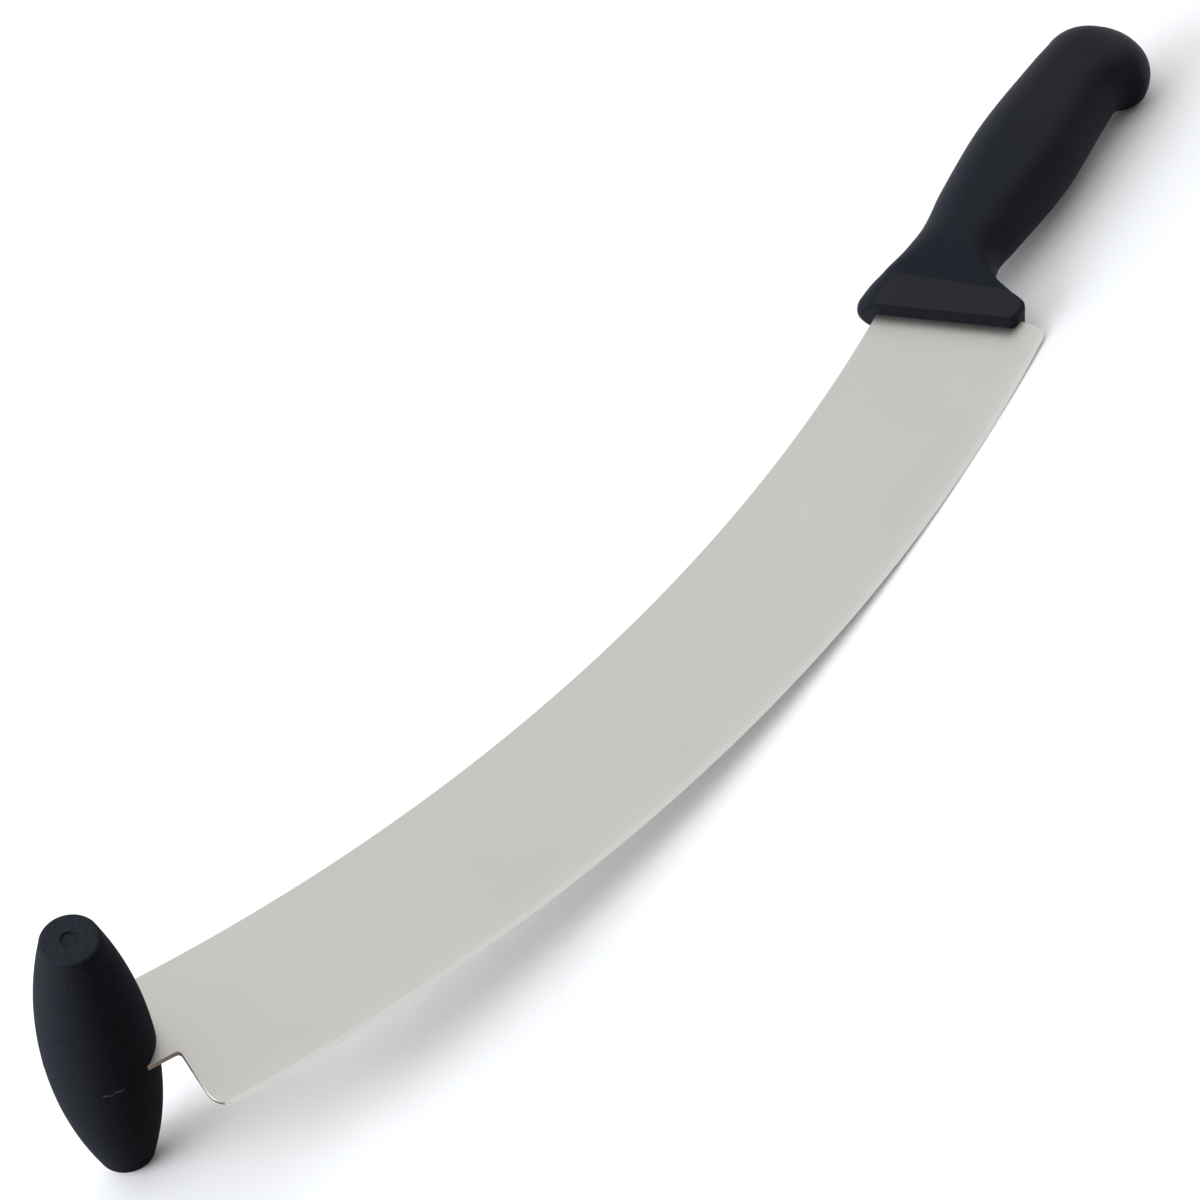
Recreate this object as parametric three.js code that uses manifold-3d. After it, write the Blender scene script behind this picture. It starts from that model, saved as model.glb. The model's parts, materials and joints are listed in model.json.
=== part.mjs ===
// Two-handled cheese knife: one curved steel blade with a sculpted main handle at the heel and a
// barrel-shaped cross handle at the tip, both moulded straight over tangs of the blade.
// Millimetres, +Z up. The knife lies on a table as it comes to rest.

import * as THREE from 'three';
import { mergeVertices } from 'three/addons/utils/BufferGeometryUtils.js';
import Module from 'manifold-3d';

// Blade
const BLADE_THICKNESS = 2.0;
const SPINE_RADIUS = 553.2;
const BLADE_WIDTH = 50.7;
const EDGE_LENGTH = 367;
const GRIND_WIDTH = 14;
const GRIND_THICKNESS = 1.1;
const BEVEL_WIDTH = 1.6;
const EDGE_THICKNESS = 0.25;
const TIP_CORNER = 8;
const HEEL_CORNER = 4.6;

// Front tang, which carries the cross handle
const FRONT_TANG_WIDTH = 27.7;
const BARREL_AXIS_DEPTH = 14.3;
const TIP_SETBACK = 17.9;
const NOTCH_FILLET = 1.5;
const EYE_RADIUS = 11;
const EYE_HOLE_RADIUS = 4.5;
const SHOULDER_SETBACK = 6.5;

// Rear tang, hidden in the main handle
const REAR_TANG_LENGTH = 92;
const REAR_TANG_ROOT_WIDTH = 19;
const REAR_TANG_END_WIDTH = 14;
const KEY_HOLE_RADIUS = 3;
const KEY_HOLES = 3;

// Moulding fit between plastic and steel
const FIT = 0.3;

// Cross handle
const BARREL_LENGTH = 105;
const BARREL_DIAMETER = 31.8;
const BARREL_END_DIAMETER = 16.4;
const BARREL_END_FILLET = 1.0;
const GATE_DIAMETER = 5.0;
const GATE_DEPTH = 0.6;

// Main handle: its place on the blade and the lengths along its grip
const GRIP_START = 10.8;
const GRIP_AXIS_DEPTH = 11.15;
const GRIP_DROP = 4.2;
const HANDLE_LENGTH = 137.7;
const GUARD_LENGTH = 14;
const GUARD_TO_NECK = 19;
const WAIST_TO_BEAK = 9.7;
const BEAK_LENGTH = 17;
const BUTT_LENGTH = 18;

// Main handle: reach from the grip axis towards the spine and towards the cutting edge
const NOSE_REACH = 18.2;
const NECK_SPINE_REACH = 14.1;
const PALM_SPINE_REACH = 17.4;
const WAIST_SPINE_REACH = 15.3;
const GUARD_REACH = 30;
const NECK_EDGE_REACH = 13.3;
const PALM_EDGE_REACH = 17;
const WAIST_EDGE_REACH = 15.7;
const BEAK_REACH = 21.4;

// Main handle: thickness across the blade, slant of the front face and roundings
const GUARD_THICKNESS = 10.8;
const NECK_THICKNESS = 20;
const PALM_THICKNESS = 25;
const WAIST_THICKNESS = 24;
const FRONT_SLANT = 18.3;
const FRONT_RIM = 0.6;
const GUARD_RIM = 1.6;
const GRIP_ROUNDING = 11;

// Smoothness of the curved surfaces
const BLADE_STEPS = 60;
const BARREL_STEPS = 64;
const BARREL_RINGS = 20;
const CORNER_STEPS = 8;
const FILLET_STEPS = 5;
const HOLE_STEPS = 24;
const RIM_STEPS = 4;
const GUARD_RINGS = 11;
const NECK_RINGS = 16;
const PALM_RINGS = 12;
const WAIST_RINGS = 11;
const BUTT_RINGS = 13;

const wasm = await Module();
wasm.setup();

const rad = THREE.MathUtils.degToRad;
const mix = THREE.MathUtils.lerp;
const smooth = THREE.MathUtils.smoothstep;

// Shapes into solids and back

function solid(geometry) {
  let plain = geometry.clone();
  plain.deleteAttribute('normal');
  plain.deleteAttribute('uv');
  plain = mergeVertices(plain, 1e-5);
  const index = plain.index.array;
  const kept = [];
  for (let i = 0; i < index.length; i += 3) {
    const [a, b, c] = [index[i], index[i + 1], index[i + 2]];
    if (a !== b && b !== c && c !== a) kept.push(a, b, c);
  }
  return new wasm.Manifold(new wasm.Mesh({
    numProp: 3,
    vertProperties: new Float32Array(plain.attributes.position.array),
    triVerts: new Uint32Array(kept),
  }));
}

function mesh(body, name, look) {
  const data = body.getMesh();
  const geometry = new THREE.BufferGeometry();
  geometry.setAttribute('position', new THREE.BufferAttribute(new Float32Array(data.vertProperties), 3));
  geometry.setIndex(new THREE.BufferAttribute(new Uint32Array(data.triVerts), 1));
  geometry.computeVertexNormals();
  const piece = new THREE.Mesh(geometry, new THREE.MeshStandardMaterial(look));
  piece.name = name;
  return piece;
}

// Closed skin through rings of equal point counts, each ring a convex outline, ends closed flat
function loft(rings) {
  const count = rings[0].length;
  const points = rings.flat();
  const faces = [];
  for (let r = 0; r + 1 < rings.length; r++) {
    for (let i = 0; i < count; i++) {
      const a = r * count + i;
      const b = r * count + (i + 1) % count;
      faces.push(a, b, a + count, b, b + count, a + count);
    }
  }
  const last = (rings.length - 1) * count;
  for (let i = 1; i + 1 < count; i++) {
    faces.push(0, i + 1, i, last, last + i, last + i + 1);
  }
  const geometry = new THREE.BufferGeometry().setFromPoints(points);
  geometry.setIndex(faces);
  return geometry;
}

// Smooth rising and falling line through a few points, without overshoot
function rail(points) {
  const n = points.length;
  const slope = [];
  for (let i = 0; i + 1 < n; i++) {
    slope.push((points[i + 1][1] - points[i][1]) / (points[i + 1][0] - points[i][0]));
  }
  const tangent = points.map((p, i) => {
    if (i === 0) return slope[0];
    if (i === n - 1) return slope[n - 2];
    const [a, b] = [slope[i - 1], slope[i]];
    return a * b <= 0 ? 0 : 2 * a * b / (a + b);
  });
  return (u) => {
    let i = 0;
    while (i < n - 2 && u > points[i + 1][0]) i++;
    const step = points[i + 1][0] - points[i][0];
    const t = THREE.MathUtils.clamp((u - points[i][0]) / step, 0, 1);
    const near = (1 + 2 * t) * (1 - t) ** 2 * points[i][1] + t * (1 - t) ** 2 * step * tangent[i];
    const far = t * t * (3 - 2 * t) * points[i + 1][1] + t * t * (t - 1) * step * tangent[i + 1];
    return near + far;
  };
}

// Blade plan: spine, edge and front tang are arcs about one centre, its lowest spine point at the origin

const EDGE_RADIUS = SPINE_RADIUS + BLADE_WIDTH;
const BARREL_ORBIT = SPINE_RADIUS + BARREL_AXIS_DEPTH;
const HEEL_ANGLE = EDGE_LENGTH / EDGE_RADIUS / 2;
const TIP_ANGLE = -HEEL_ANGLE;
const BARREL_ANGLE = TIP_ANGLE - TIP_SETBACK / BARREL_ORBIT;

function onArc(angle, radius) {
  return new THREE.Vector2(radius * Math.sin(angle), SPINE_RADIUS - radius * Math.cos(angle));
}

const barrelAxis = onArc(BARREL_ANGLE, BARREL_ORBIT);

// Grip axis: leaves the blade near its heel and drops a little from the blade's own direction

const gripRadius = SPINE_RADIUS + GRIP_AXIS_DEPTH;
const gripAngle = HEEL_ANGLE - GRIP_START / gripRadius;
const gripOrigin = onArc(gripAngle, gripRadius);
const gripTurn = gripAngle - rad(GRIP_DROP);

function onGrip(along, across) {
  return new THREE.Vector2(along, across).rotateAround(new THREE.Vector2(), gripTurn).add(gripOrigin);
}

// Point of the heel line at a given distance across the grip axis
function onHeel(across) {
  const a = onArc(HEEL_ANGLE, SPINE_RADIUS);
  const b = onArc(HEEL_ANGLE, EDGE_RADIUS);
  const height = (p) => p.clone().sub(gripOrigin).rotateAround(new THREE.Vector2(), -gripTurn).y;
  return a.clone().lerp(b, (height(a) - across) / (height(a) - height(b)));
}

function bladeOutline(grow) {
  const spine = SPINE_RADIUS - grow;
  const edge = EDGE_RADIUS + grow;
  const tip = TIP_ANGLE - grow / EDGE_RADIUS;
  const heel = HEEL_ANGLE + grow / EDGE_RADIUS;
  const tangEdge = SPINE_RADIUS + FRONT_TANG_WIDTH + grow;
  const shoulder = BARREL_ANGLE + SHOULDER_SETBACK / BARREL_ORBIT;
  const root = REAR_TANG_ROOT_WIDTH / 2 + grow;
  const end = REAR_TANG_END_WIDTH / 2 + grow;
  const tangEnd = REAR_TANG_LENGTH + grow;
  const fillet = NOTCH_FILLET;
  const lowRoot = onHeel(-root);
  const highRoot = onHeel(root);
  const lowEnd = onGrip(tangEnd, -end);
  const highEnd = onGrip(tangEnd, end);

  const points = [];
  const towards = (from, to, length) => from.clone().add(to.clone().sub(from).setLength(length));
  const arc = (radius, from, to, steps) => {
    for (let i = 0; i <= steps; i++) points.push(onArc(from + (to - from) * i / steps, radius));
  };
  const bend = (from, corner, to) => {
    points.push(...new THREE.QuadraticBezierCurve(from, corner, to).getPoints(FILLET_STEPS));
  };
  const circle = (centre, radius, from, to) => {
    const steps = Math.ceil((to - from) / (2 * Math.PI) * HOLE_STEPS);
    return new THREE.EllipseCurve(centre.x, centre.y, radius, radius, from, to).getPoints(steps);
  };

  points.push(...circle(barrelAxis, EYE_RADIUS + grow, BARREL_ANGLE + rad(90), BARREL_ANGLE + rad(270)));
  arc(tangEdge, shoulder, tip - fillet / tangEdge, 2);
  bend(onArc(tip - fillet / tangEdge, tangEdge), onArc(tip, tangEdge), onArc(tip, tangEdge + fillet));
  bend(onArc(tip, edge - TIP_CORNER), onArc(tip, edge), onArc(tip + TIP_CORNER / edge, edge));
  arc(edge, tip + TIP_CORNER / edge, heel - HEEL_CORNER / edge, BLADE_STEPS);
  bend(onArc(heel - HEEL_CORNER / edge, edge), onArc(heel, edge), onArc(heel, edge - HEEL_CORNER));
  bend(towards(lowRoot, onArc(heel, edge), fillet), lowRoot, towards(lowRoot, lowEnd, fillet));
  bend(towards(lowEnd, lowRoot, end / 2), lowEnd, onGrip(tangEnd, -end / 2));
  bend(onGrip(tangEnd, end / 2), highEnd, towards(highEnd, highRoot, end / 2));
  bend(towards(highRoot, highEnd, fillet), highRoot, towards(highRoot, onArc(heel, spine), fillet));
  arc(spine, heel, shoulder, BLADE_STEPS);

  const distinct = points.filter((p, i) => p.distanceTo(points[(i + 1) % points.length]) > 1e-6);
  const shape = new THREE.Shape(distinct);
  const hole = (centre, radius) => {
    shape.holes.push(new THREE.Path(circle(centre, radius - grow, 0, 2 * Math.PI).slice(1)));
  };
  hole(barrelAxis, EYE_HOLE_RADIUS);
  for (let i = 1; i <= KEY_HOLES; i++) {
    hole(onGrip(REAR_TANG_LENGTH * (i + 0.3) / (KEY_HOLES + 1), 0), KEY_HOLE_RADIUS);
  }
  return shape;
}

function plate(outline, thickness) {
  const options = { depth: thickness, bevelEnabled: false };
  return solid(new THREE.ExtrudeGeometry(outline, options).translate(0, 0, -thickness / 2));
}

// Strip of steel with its outer side ground to an edge, bent round the blade's centre
function groundStrip() {
  const half = BLADE_THICKNESS / 2;
  const behindEdge = GRIND_THICKNESS / 2;
  const edge = EDGE_THICKNESS / 2;
  const section = [
    [SPINE_RADIUS - BLADE_WIDTH / 2, half],
    [EDGE_RADIUS - GRIND_WIDTH, half],
    [EDGE_RADIUS - BEVEL_WIDTH, behindEdge],
    [EDGE_RADIUS, edge],
    [EDGE_RADIUS, -edge],
    [EDGE_RADIUS - BEVEL_WIDTH, -behindEdge],
    [EDGE_RADIUS - GRIND_WIDTH, -half],
    [SPINE_RADIUS - BLADE_WIDTH / 2, -half],
  ];
  const step = 2 * HEEL_ANGLE / BLADE_STEPS;
  const before = Math.ceil((TIP_ANGLE - BARREL_ANGLE + EYE_RADIUS / BARREL_ORBIT) / step) + 1;
  const after = Math.ceil(REAR_TANG_LENGTH / SPINE_RADIUS / step) + 1;
  const rings = [];
  for (let i = -before; i <= BLADE_STEPS + after; i++) {
    const angle = TIP_ANGLE + i * step;
    rings.push(section.map(([radius, z]) => {
      const p = onArc(angle, radius);
      return new THREE.Vector3(p.x, p.y, z);
    }));
  }
  return solid(loft(rings));
}

const bladeBody = groundStrip().intersect(plate(bladeOutline(0), 2 * BLADE_THICKNESS));
const tangRoom = plate(bladeOutline(FIT), BLADE_THICKNESS + 2 * FIT);

// Cross handle: a barrel with a circular-arc side and flat ends, standing square to the blade

function barrel() {
  const half = BARREL_LENGTH / 2;
  const radius = BARREL_DIAMETER / 2;
  const endRadius = BARREL_END_DIAMETER / 2;
  const drop = radius - endRadius;
  const sweep = (half * half + drop * drop) / (2 * drop);
  const side = (h) => radius - sweep + Math.sqrt(sweep * sweep - h * h);
  const flank = half - BARREL_END_FILLET;
  const profile = [new THREE.Vector2(0, -half)];
  const rim = [];
  for (let i = 0; i <= RIM_STEPS; i++) {
    const turn = rad(90 * i / RIM_STEPS);
    const r = side(flank) - BARREL_END_FILLET * (1 - Math.sin(turn));
    rim.push(new THREE.Vector2(r, half - BARREL_END_FILLET * (1 - Math.cos(turn))));
  }
  for (const p of rim) profile.push(new THREE.Vector2(p.x, -p.y));
  for (let i = 1; i < BARREL_RINGS; i++) {
    const h = flank * (2 * i / BARREL_RINGS - 1);
    profile.push(new THREE.Vector2(side(h), h));
  }
  for (const p of rim.reverse()) profile.push(p);
  profile.push(new THREE.Vector2(0, half));
  const turned = new THREE.LatheGeometry(profile, BARREL_STEPS).rotateX(rad(90));
  return solid(turned.translate(barrelAxis.x, barrelAxis.y, 0));
}

const gate = new THREE.CylinderGeometry(GATE_DIAMETER / 2, GATE_DIAMETER / 2, 2 * GATE_DEPTH, HOLE_STEPS);
gate.rotateX(rad(90)).translate(barrelAxis.x, barrelAxis.y, BARREL_LENGTH / 2);
const crossBody = barrel().subtract(solid(gate)).subtract(tangRoom);

// Main handle: sections across the grip, slanted at the guard and square from the palm on

const neckAt = GUARD_LENGTH + GUARD_TO_NECK;
const beakAt = HANDLE_LENGTH - BEAK_LENGTH;
const waistAt = beakAt - WAIST_TO_BEAK;
const palmAt = mix(neckAt, waistAt, 0.565);
const buttAt = HANDLE_LENGTH - BUTT_LENGTH;
const buttCentre = -0.12 * BEAK_REACH;

// Point between two stations of a side, at a share of the way along the grip and across it
function between(from, to, along, across) {
  return [mix(from[0], to[0], along), mix(from[1], to[1], across)];
}

const nose = [0.32 * GUARD_LENGTH, NOSE_REACH];
const spineNeck = [neckAt, NECK_SPINE_REACH];
const spinePalm = [palmAt, PALM_SPINE_REACH];

const spineSide = rail([
  [0, 0.84 * NOSE_REACH],
  [0.11 * GUARD_LENGTH, 0.95 * NOSE_REACH],
  nose,
  between(nose, spineNeck, 0.16, 0.04),
  between(nose, spineNeck, 0.4, 0.34),
  between(nose, spineNeck, 0.68, 0.8),
  spineNeck,
  between(spineNeck, spinePalm, 0.34, 0.52),
  spinePalm,
  [waistAt, WAIST_SPINE_REACH],
  [buttAt, 0.93 * WAIST_SPINE_REACH],
]);

const guard = [0.43 * GUARD_LENGTH, GUARD_REACH];
const edgeNeck = [neckAt, NECK_EDGE_REACH];
const edgePalm = [palmAt, PALM_EDGE_REACH];
const edgeWaist = [waistAt, WAIST_EDGE_REACH];
const beak = [beakAt, BEAK_REACH];

const edgeSide = rail([
  [0, 0.965 * GUARD_REACH],
  [0.1 * GUARD_LENGTH, 0.99 * GUARD_REACH],
  guard,
  between(guard, edgeNeck, 0.12, 0.06),
  between(guard, edgeNeck, 0.3, 0.39),
  between(guard, edgeNeck, 0.47, 0.74),
  between(guard, edgeNeck, 0.64, 0.92),
  edgeNeck,
  between(edgeNeck, edgePalm, 0.23, 0.27),
  edgePalm,
  edgeWaist,
  between(edgeWaist, beak, 0.52, 0.27),
  between(edgeWaist, beak, 0.83, 0.85),
  beak,
]);

const guardBack = [GUARD_LENGTH, GUARD_THICKNESS / 2];
const neckSide = [neckAt, NECK_THICKNESS / 2];

const swell = rail([
  guardBack,
  between(guardBack, neckSide, 0.68, 0.78),
  neckSide,
  [palmAt, PALM_THICKNESS / 2],
  [waistAt, WAIST_THICKNESS / 2],
  [buttAt, WAIST_THICKNESS / 2],
]);

// The guard's sides are flat, and the neck swells from a crease behind them
function halfThickness(u) {
  return swell(Math.max(u, GUARD_LENGTH));
}

// Roundness of the butt: full width where it starts, closed at the end of the handle
function closing(u, from) {
  const t = THREE.MathUtils.clamp((u - from) / (HANDLE_LENGTH - from), 0, 1);
  return Math.sqrt(1 - t * t);
}

function gripSection(u, inset) {
  const high = buttCentre + (spineSide(u) - buttCentre) * closing(u, buttAt) - inset;
  const low = buttCentre - (edgeSide(u) + buttCentre) * closing(u, beakAt) + inset;
  const b = halfThickness(u) * closing(u, buttAt) - inset;
  const width = high - low;
  const round = smooth(u, GUARD_LENGTH, neckAt);
  const highIn = Math.min(mix(GUARD_THICKNESS / 2, GRIP_ROUNDING, round), 0.48 * width);
  const lowIn = Math.min(mix(GUARD_RIM, GRIP_ROUNDING, round), 0.48 * width);
  const lowUp = mix(GUARD_RIM, b, round);
  const slant = Math.tan(rad(FRONT_SLANT)) * (1 - smooth(u, 0, mix(neckAt, palmAt, 0.27)));
  const corners = [
    [high - highIn, 0, highIn, b, 0],
    [low + lowIn, b - lowUp, lowIn, lowUp, 90],
    [low + lowIn, lowUp - b, lowIn, lowUp, 180],
    [high - highIn, 0, highIn, b, 270],
  ];
  const ring = [];
  for (const [y, z, across, up, from] of corners) {
    for (let i = 0; i <= CORNER_STEPS; i++) {
      const turn = rad(from + 90 * i / CORNER_STEPS);
      const side = y + across * Math.cos(turn);
      const p = onGrip(u - slant * side, side);
      ring.push(new THREE.Vector3(p.x, p.y, z + up * Math.sin(turn)));
    }
  }
  return ring;
}

function grip() {
  const rings = [];
  for (let i = 0; i <= RIM_STEPS; i++) {
    const turn = rad(90 * i / RIM_STEPS);
    rings.push(gripSection(FRONT_RIM * (1 - Math.cos(turn)), FRONT_RIM * (1 - Math.sin(turn))));
  }
  const run = (from, to, steps) => {
    for (let i = 1; i <= steps; i++) rings.push(gripSection(from + (to - from) * i / steps, 0));
  };
  const neckEnd = mix(neckAt, palmAt, 0.2);
  const waistStart = mix(palmAt, waistAt, 0.88);
  run(FRONT_RIM, GUARD_LENGTH, GUARD_RINGS);
  run(GUARD_LENGTH, neckEnd, NECK_RINGS);
  run(neckEnd, waistStart, PALM_RINGS);
  run(waistStart, buttAt, WAIST_RINGS);
  for (let i = 1; i <= BUTT_RINGS; i++) {
    const turn = rad(88 * i / BUTT_RINGS);
    rings.push(gripSection(buttAt + BUTT_LENGTH * Math.sin(turn), 0));
  }
  return solid(loft(rings));
}

const handleBody = grip().subtract(tangRoom);

// Pieces

const steel = { color: 0xc8c6c1, roughness: 0.38, metalness: 0.95 };
const plastic = { color: 0x25262d, roughness: 0.6, metalness: 0 };

const knife = new THREE.Group();
knife.name = 'cheese_knife';
knife.add(mesh(bladeBody, 'blade', steel));
knife.add(mesh(handleBody, 'main_handle', plastic));
knife.add(mesh(crossBody, 'cross_handle', plastic));

// Lay the knife down: the table plane passes through the lowest point of every piece

function lowestPoint(piece, up) {
  const places = piece.geometry.attributes.position;
  const point = new THREE.Vector3();
  const lowest = new THREE.Vector3().fromBufferAttribute(places, 0);
  for (let i = 1; i < places.count; i++) {
    point.fromBufferAttribute(places, i);
    if (point.dot(up) < lowest.dot(up)) lowest.copy(point);
  }
  return lowest;
}

const tableUp = new THREE.Vector3(0, 1, 2).normalize();
for (let i = 0; i < 12; i++) {
  const [a, b, c] = knife.children.map((piece) => lowestPoint(piece, tableUp));
  tableUp.crossVectors(b.sub(a), c.sub(a)).normalize();
  if (tableUp.z < 0) tableUp.negate();
}
knife.quaternion.setFromUnitVectors(tableUp, new THREE.Vector3(0, 0, 1));
const extent = new THREE.Box3().setFromObject(knife, true);
const middle = extent.getCenter(new THREE.Vector3());
knife.position.set(-middle.x, -middle.y, -extent.min.z);

export default knife;
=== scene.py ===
"""Looks of a two-handled cheese knife: satin blade, sculpted grip at the heel, barrel grip at the tip.

Sizes are millimetres in the knife's own frame: X along the blade's chord towards the heel, Y towards
the spine, Z out of the upper side of the blade, the origin at the lowest point of the spine's arc.
Meshes are made in that frame, in metres, and laid where the frame holds the knife.
"""

import json
import math

import bmesh
import bpy
from mathutils import Matrix, Quaternion, Vector
from mathutils.geometry import delaunay_2d_cdt


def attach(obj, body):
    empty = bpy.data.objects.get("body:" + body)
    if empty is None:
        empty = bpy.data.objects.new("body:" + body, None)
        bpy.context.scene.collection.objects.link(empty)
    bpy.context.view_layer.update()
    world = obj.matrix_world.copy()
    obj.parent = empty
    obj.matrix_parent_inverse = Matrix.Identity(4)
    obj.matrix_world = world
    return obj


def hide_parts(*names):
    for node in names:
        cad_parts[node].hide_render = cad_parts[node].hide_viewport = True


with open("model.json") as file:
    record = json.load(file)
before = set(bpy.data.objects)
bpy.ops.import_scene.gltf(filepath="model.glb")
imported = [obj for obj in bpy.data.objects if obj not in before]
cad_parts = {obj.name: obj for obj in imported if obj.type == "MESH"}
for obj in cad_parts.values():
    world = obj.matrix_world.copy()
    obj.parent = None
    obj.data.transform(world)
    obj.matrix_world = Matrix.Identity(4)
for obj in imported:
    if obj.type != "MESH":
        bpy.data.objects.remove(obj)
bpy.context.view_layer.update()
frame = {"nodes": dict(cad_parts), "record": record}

METRES_PER_MM = 0.001

# Blade
BLADE_THICKNESS = 2.0
SPINE_RADIUS = 553.2
BLADE_WIDTH = 50.7
EDGE_LENGTH = 367
GRIND_WIDTH = 14
GRIND_THICKNESS = 1.1
BEVEL_WIDTH = 1.6
EDGE_THICKNESS = 0.25
TIP_CORNER = 8
HEEL_CORNER = 4.6
DEBURRED_RIM = 0.1

# Front tang, which carries the cross handle
FRONT_TANG_WIDTH = 27.7
BARREL_AXIS_DEPTH = 14.3
TIP_SETBACK = 17.9
NOTCH_FILLET = 1.5
EYE_RADIUS = 11
EYE_HOLE_RADIUS = 4.5
SHOULDER_SETBACK = 6.5

# Rear tang, hidden in the main handle
REAR_TANG_LENGTH = 92
REAR_TANG_ROOT_WIDTH = 19
REAR_TANG_END_WIDTH = 14
KEY_HOLE_RADIUS = 3
KEY_HOLES = 3
KEY_HOLE_SHIFT = 0.3

# Gap between steel and plastic, as tight as the moulding is
MOULD_GAP = 0.04

# Cross handle
BARREL_LENGTH = 105
BARREL_DIAMETER = 31.8
BARREL_END_DIAMETER = 16.4
BARREL_END_FILLET = 1.0
GATE_DIAMETER = 5.0
GATE_DEPTH = 0.6
GATE_CHAMFER = 0.12
MOULD_LINE_HEIGHT = 0.05
MOULD_LINE_WIDTH = 0.6

# Main handle: its place on the blade and the lengths along its grip
GRIP_START = 10.8
GRIP_AXIS_DEPTH = 11.15
GRIP_DROP = 4.2
HANDLE_LENGTH = 137.7
GUARD_LENGTH = 14
GUARD_TO_NECK = 19
WAIST_TO_BEAK = 9.7
BEAK_LENGTH = 17
BUTT_LENGTH = 18

# Main handle: reach from the grip axis towards the spine and towards the cutting edge
NOSE_REACH = 18.2
NECK_SPINE_REACH = 14.1
PALM_SPINE_REACH = 17.4
WAIST_SPINE_REACH = 15.3
GUARD_REACH = 30
NECK_EDGE_REACH = 13.3
PALM_EDGE_REACH = 17
WAIST_EDGE_REACH = 15.7
BEAK_REACH = 21.4

# Main handle: thickness across the blade, slant of the front face and roundings
GUARD_THICKNESS = 10.8
NECK_THICKNESS = 20
PALM_THICKNESS = 25
WAIST_THICKNESS = 24
FRONT_SLANT = 18.3
FRONT_RIM = 0.6
GUARD_RIM = 1.6
GRIP_ROUNDING = 11

# Main handle: shares that place the palm, the centre of the butt and the end of the slant,
# and the largest share of a section that one rounding takes
PALM_PLACE = 0.565
BUTT_DROP = 0.12
SLANT_END = 0.27
LARGEST_ROUNDING = 0.48

# Fineness of the meshes: steps and rings, ring spacings from guard to butt, and the angle that stays sharp
RIM_STEPS = 8
GRIP_SPACINGS = [0.6, 0.5, 1.2, 0.6]
BUTT_RINGS = 44
FLANK_RINGS = 48
MOULD_LINE_RINGS = 4
SHARP_ANGLE = 30

# Making of the plate: how far its creases run past tip and heel, the share of its half thickness
# that a broken rim may take, and the tolerances for one point, for the plan and for a hole
CREASE_RUN_OUT = 3
LARGEST_RIM = 0.4
SAME_POINT = 1e-4
PLAN_PRECISION = 1e-5
HOLE_MARGIN = 1e-3

# Distance, in metres, below which points of a skin are welded
WELD_DISTANCE = 1e-7

# What counts as a flat of the guard: millimetres off its side, and the cosine between two directions
FLATNESS = 0.01
SAME_WAY = 0.99

# Camera, in the frame of the table that the knife lies on
CAMERA_AIM = (-29.1, 9.9, 30.9)
CAMERA_DISTANCE = 1317
CAMERA_AZIMUTH = -26.58
CAMERA_ELEVATION = 34.61
CAMERA_ROLL = -30.68
CAMERA_LENS = 134.87
CAMERA_SENSOR = 36


def mix(a, b, share):
    return a + (b - a) * share


def smooth(value, low, high):
    t = min(max((value - low) / (high - low), 0), 1)
    return t * t * (3 - 2 * t)


def rail(points):
    """Smooth rising and falling line through a few points, without overshoot."""
    spans = list(zip(points, points[1:]))
    slopes = [(b[1] - a[1]) / (b[0] - a[0]) for a, b in spans]
    tangents = [slopes[0]]
    for a, b in zip(slopes, slopes[1:]):
        tangents.append(0 if a * b <= 0 else 2 * a * b / (a + b))
    tangents.append(slopes[-1])

    def height(u):
        i = 0
        while i < len(spans) - 1 and u > points[i + 1][0]:
            i += 1
        (u0, v0), (u1, v1) = spans[i]
        step = u1 - u0
        t = min(max((u - u0) / step, 0), 1)
        near = (1 + 2 * t) * (1 - t) ** 2 * v0 + t * (1 - t) ** 2 * step * tangents[i]
        far = t * t * (3 - 2 * t) * v1 + t * t * (t - 1) * step * tangents[i + 1]
        return near + far

    return height


# Plan of the blade: spine, edge and front tang are arcs about one centre

EDGE_RADIUS = SPINE_RADIUS + BLADE_WIDTH
BARREL_ORBIT = SPINE_RADIUS + BARREL_AXIS_DEPTH
HEEL_ANGLE = EDGE_LENGTH / EDGE_RADIUS / 2
TIP_ANGLE = -HEEL_ANGLE
BARREL_ANGLE = TIP_ANGLE - TIP_SETBACK / BARREL_ORBIT
QUARTER_TURN = math.pi / 2


def on_arc(angle, radius):
    return Vector((radius * math.sin(angle), SPINE_RADIUS - radius * math.cos(angle)))


barrel_axis = on_arc(BARREL_ANGLE, BARREL_ORBIT)
grip_radius = SPINE_RADIUS + GRIP_AXIS_DEPTH
grip_angle = HEEL_ANGLE - GRIP_START / grip_radius
grip_origin = on_arc(grip_angle, grip_radius)
grip_turn = Matrix.Rotation(grip_angle - math.radians(GRIP_DROP), 2)


def on_grip(along, across):
    return grip_turn @ Vector((along, across)) + grip_origin


def on_heel(across):
    """Point of the heel line at a given distance across the grip axis."""
    a = on_arc(HEEL_ANGLE, SPINE_RADIUS)
    b = on_arc(HEEL_ANGLE, EDGE_RADIUS)
    height_a, height_b = [(grip_turn.inverted() @ (p - grip_origin)).y for p in (a, b)]
    return a.lerp(b, (height_a - across) / (height_a - height_b))


def arc(radius, start, end, spacing=2):
    steps = max(2, round(abs(end - start) * radius / spacing))
    return [on_arc(mix(start, end, i / steps), radius) for i in range(steps + 1)]


def bend(start, corner, end, steps=14):
    shares = [i / steps for i in range(steps + 1)]
    return [start.lerp(corner, t).lerp(corner.lerp(end, t), t) for t in shares]


def circle(centre, radius, start, end, steps=48):
    turns = [mix(start, end, i / steps) for i in range(steps + 1)]
    return [centre + radius * Vector((math.cos(a), math.sin(a))) for a in turns]


def towards(start, end, length):
    return start + (end - start).normalized() * length


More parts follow.
